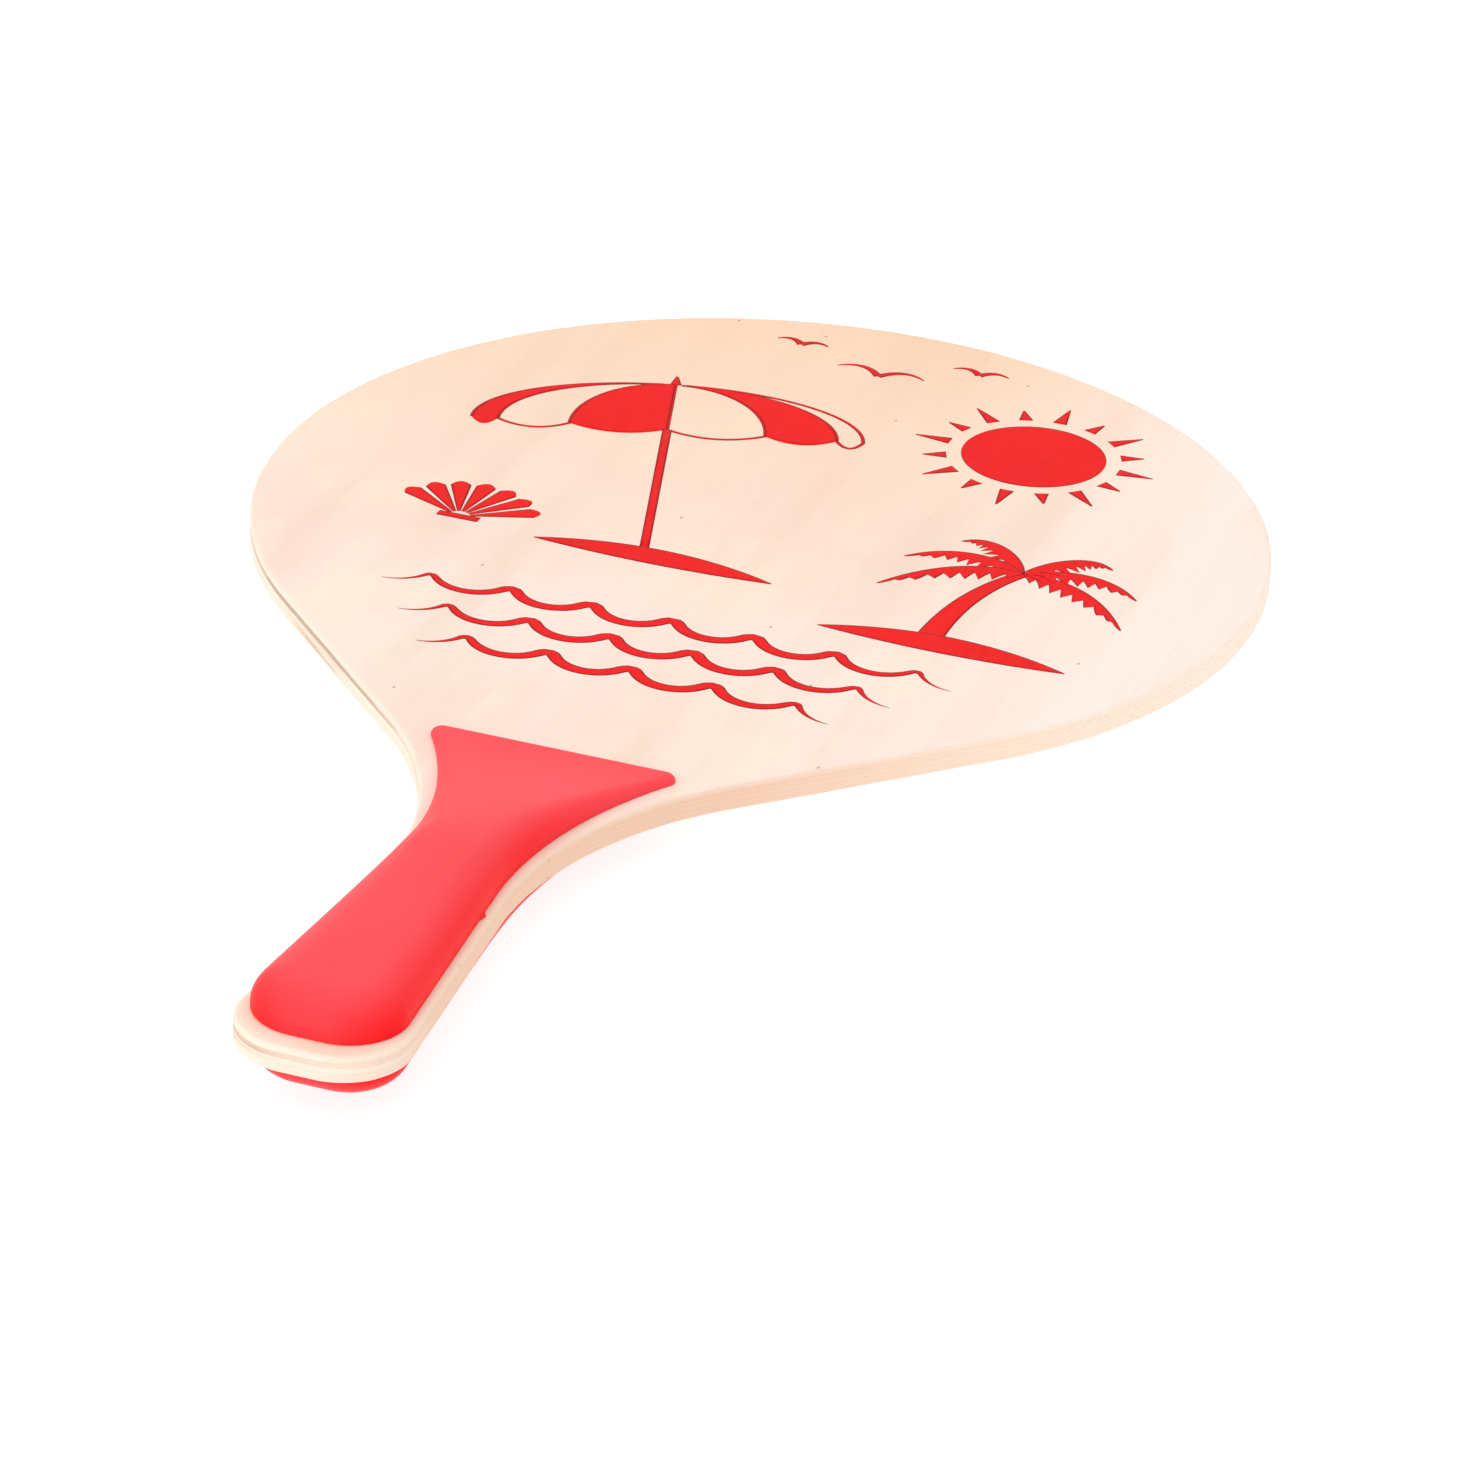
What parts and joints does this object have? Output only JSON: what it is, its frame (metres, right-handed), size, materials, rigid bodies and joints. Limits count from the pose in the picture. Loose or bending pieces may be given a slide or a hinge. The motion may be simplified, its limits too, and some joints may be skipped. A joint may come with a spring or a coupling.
{
  "type": "beach game paddle",
  "caption": "Round plywood beach bat with a waisted handle and a hollow moulded grip half pegged to each face.",
  "frame": {"origin": "middle of the paddle's length and width, in the plane of the rear grip's flat crest", "axes": "+X across the blade, +Y from the butt to the tip of the blade, +Z out of the printed front face"},
  "size_m": [0.232, 0.38, 0.0238],
  "materials": {
    "face_veneer": "sanded, clear sealed",
    "cross_veneer": "routed edge",
    "core_veneer": "routed edge",
    "grip_plastic": "satin moulded",
    "print_ink": "screen printed"
  },
  "bodies": {
    "root": {"front_face_ply": "face_veneer", "front_cross_ply": "cross_veneer", "core_ply": "core_veneer", "rear_cross_ply": "cross_veneer", "rear_face_ply": "face_veneer", "front_grip": "grip_plastic", "rear_grip": "grip_plastic"}
  },
  "joints": []
}
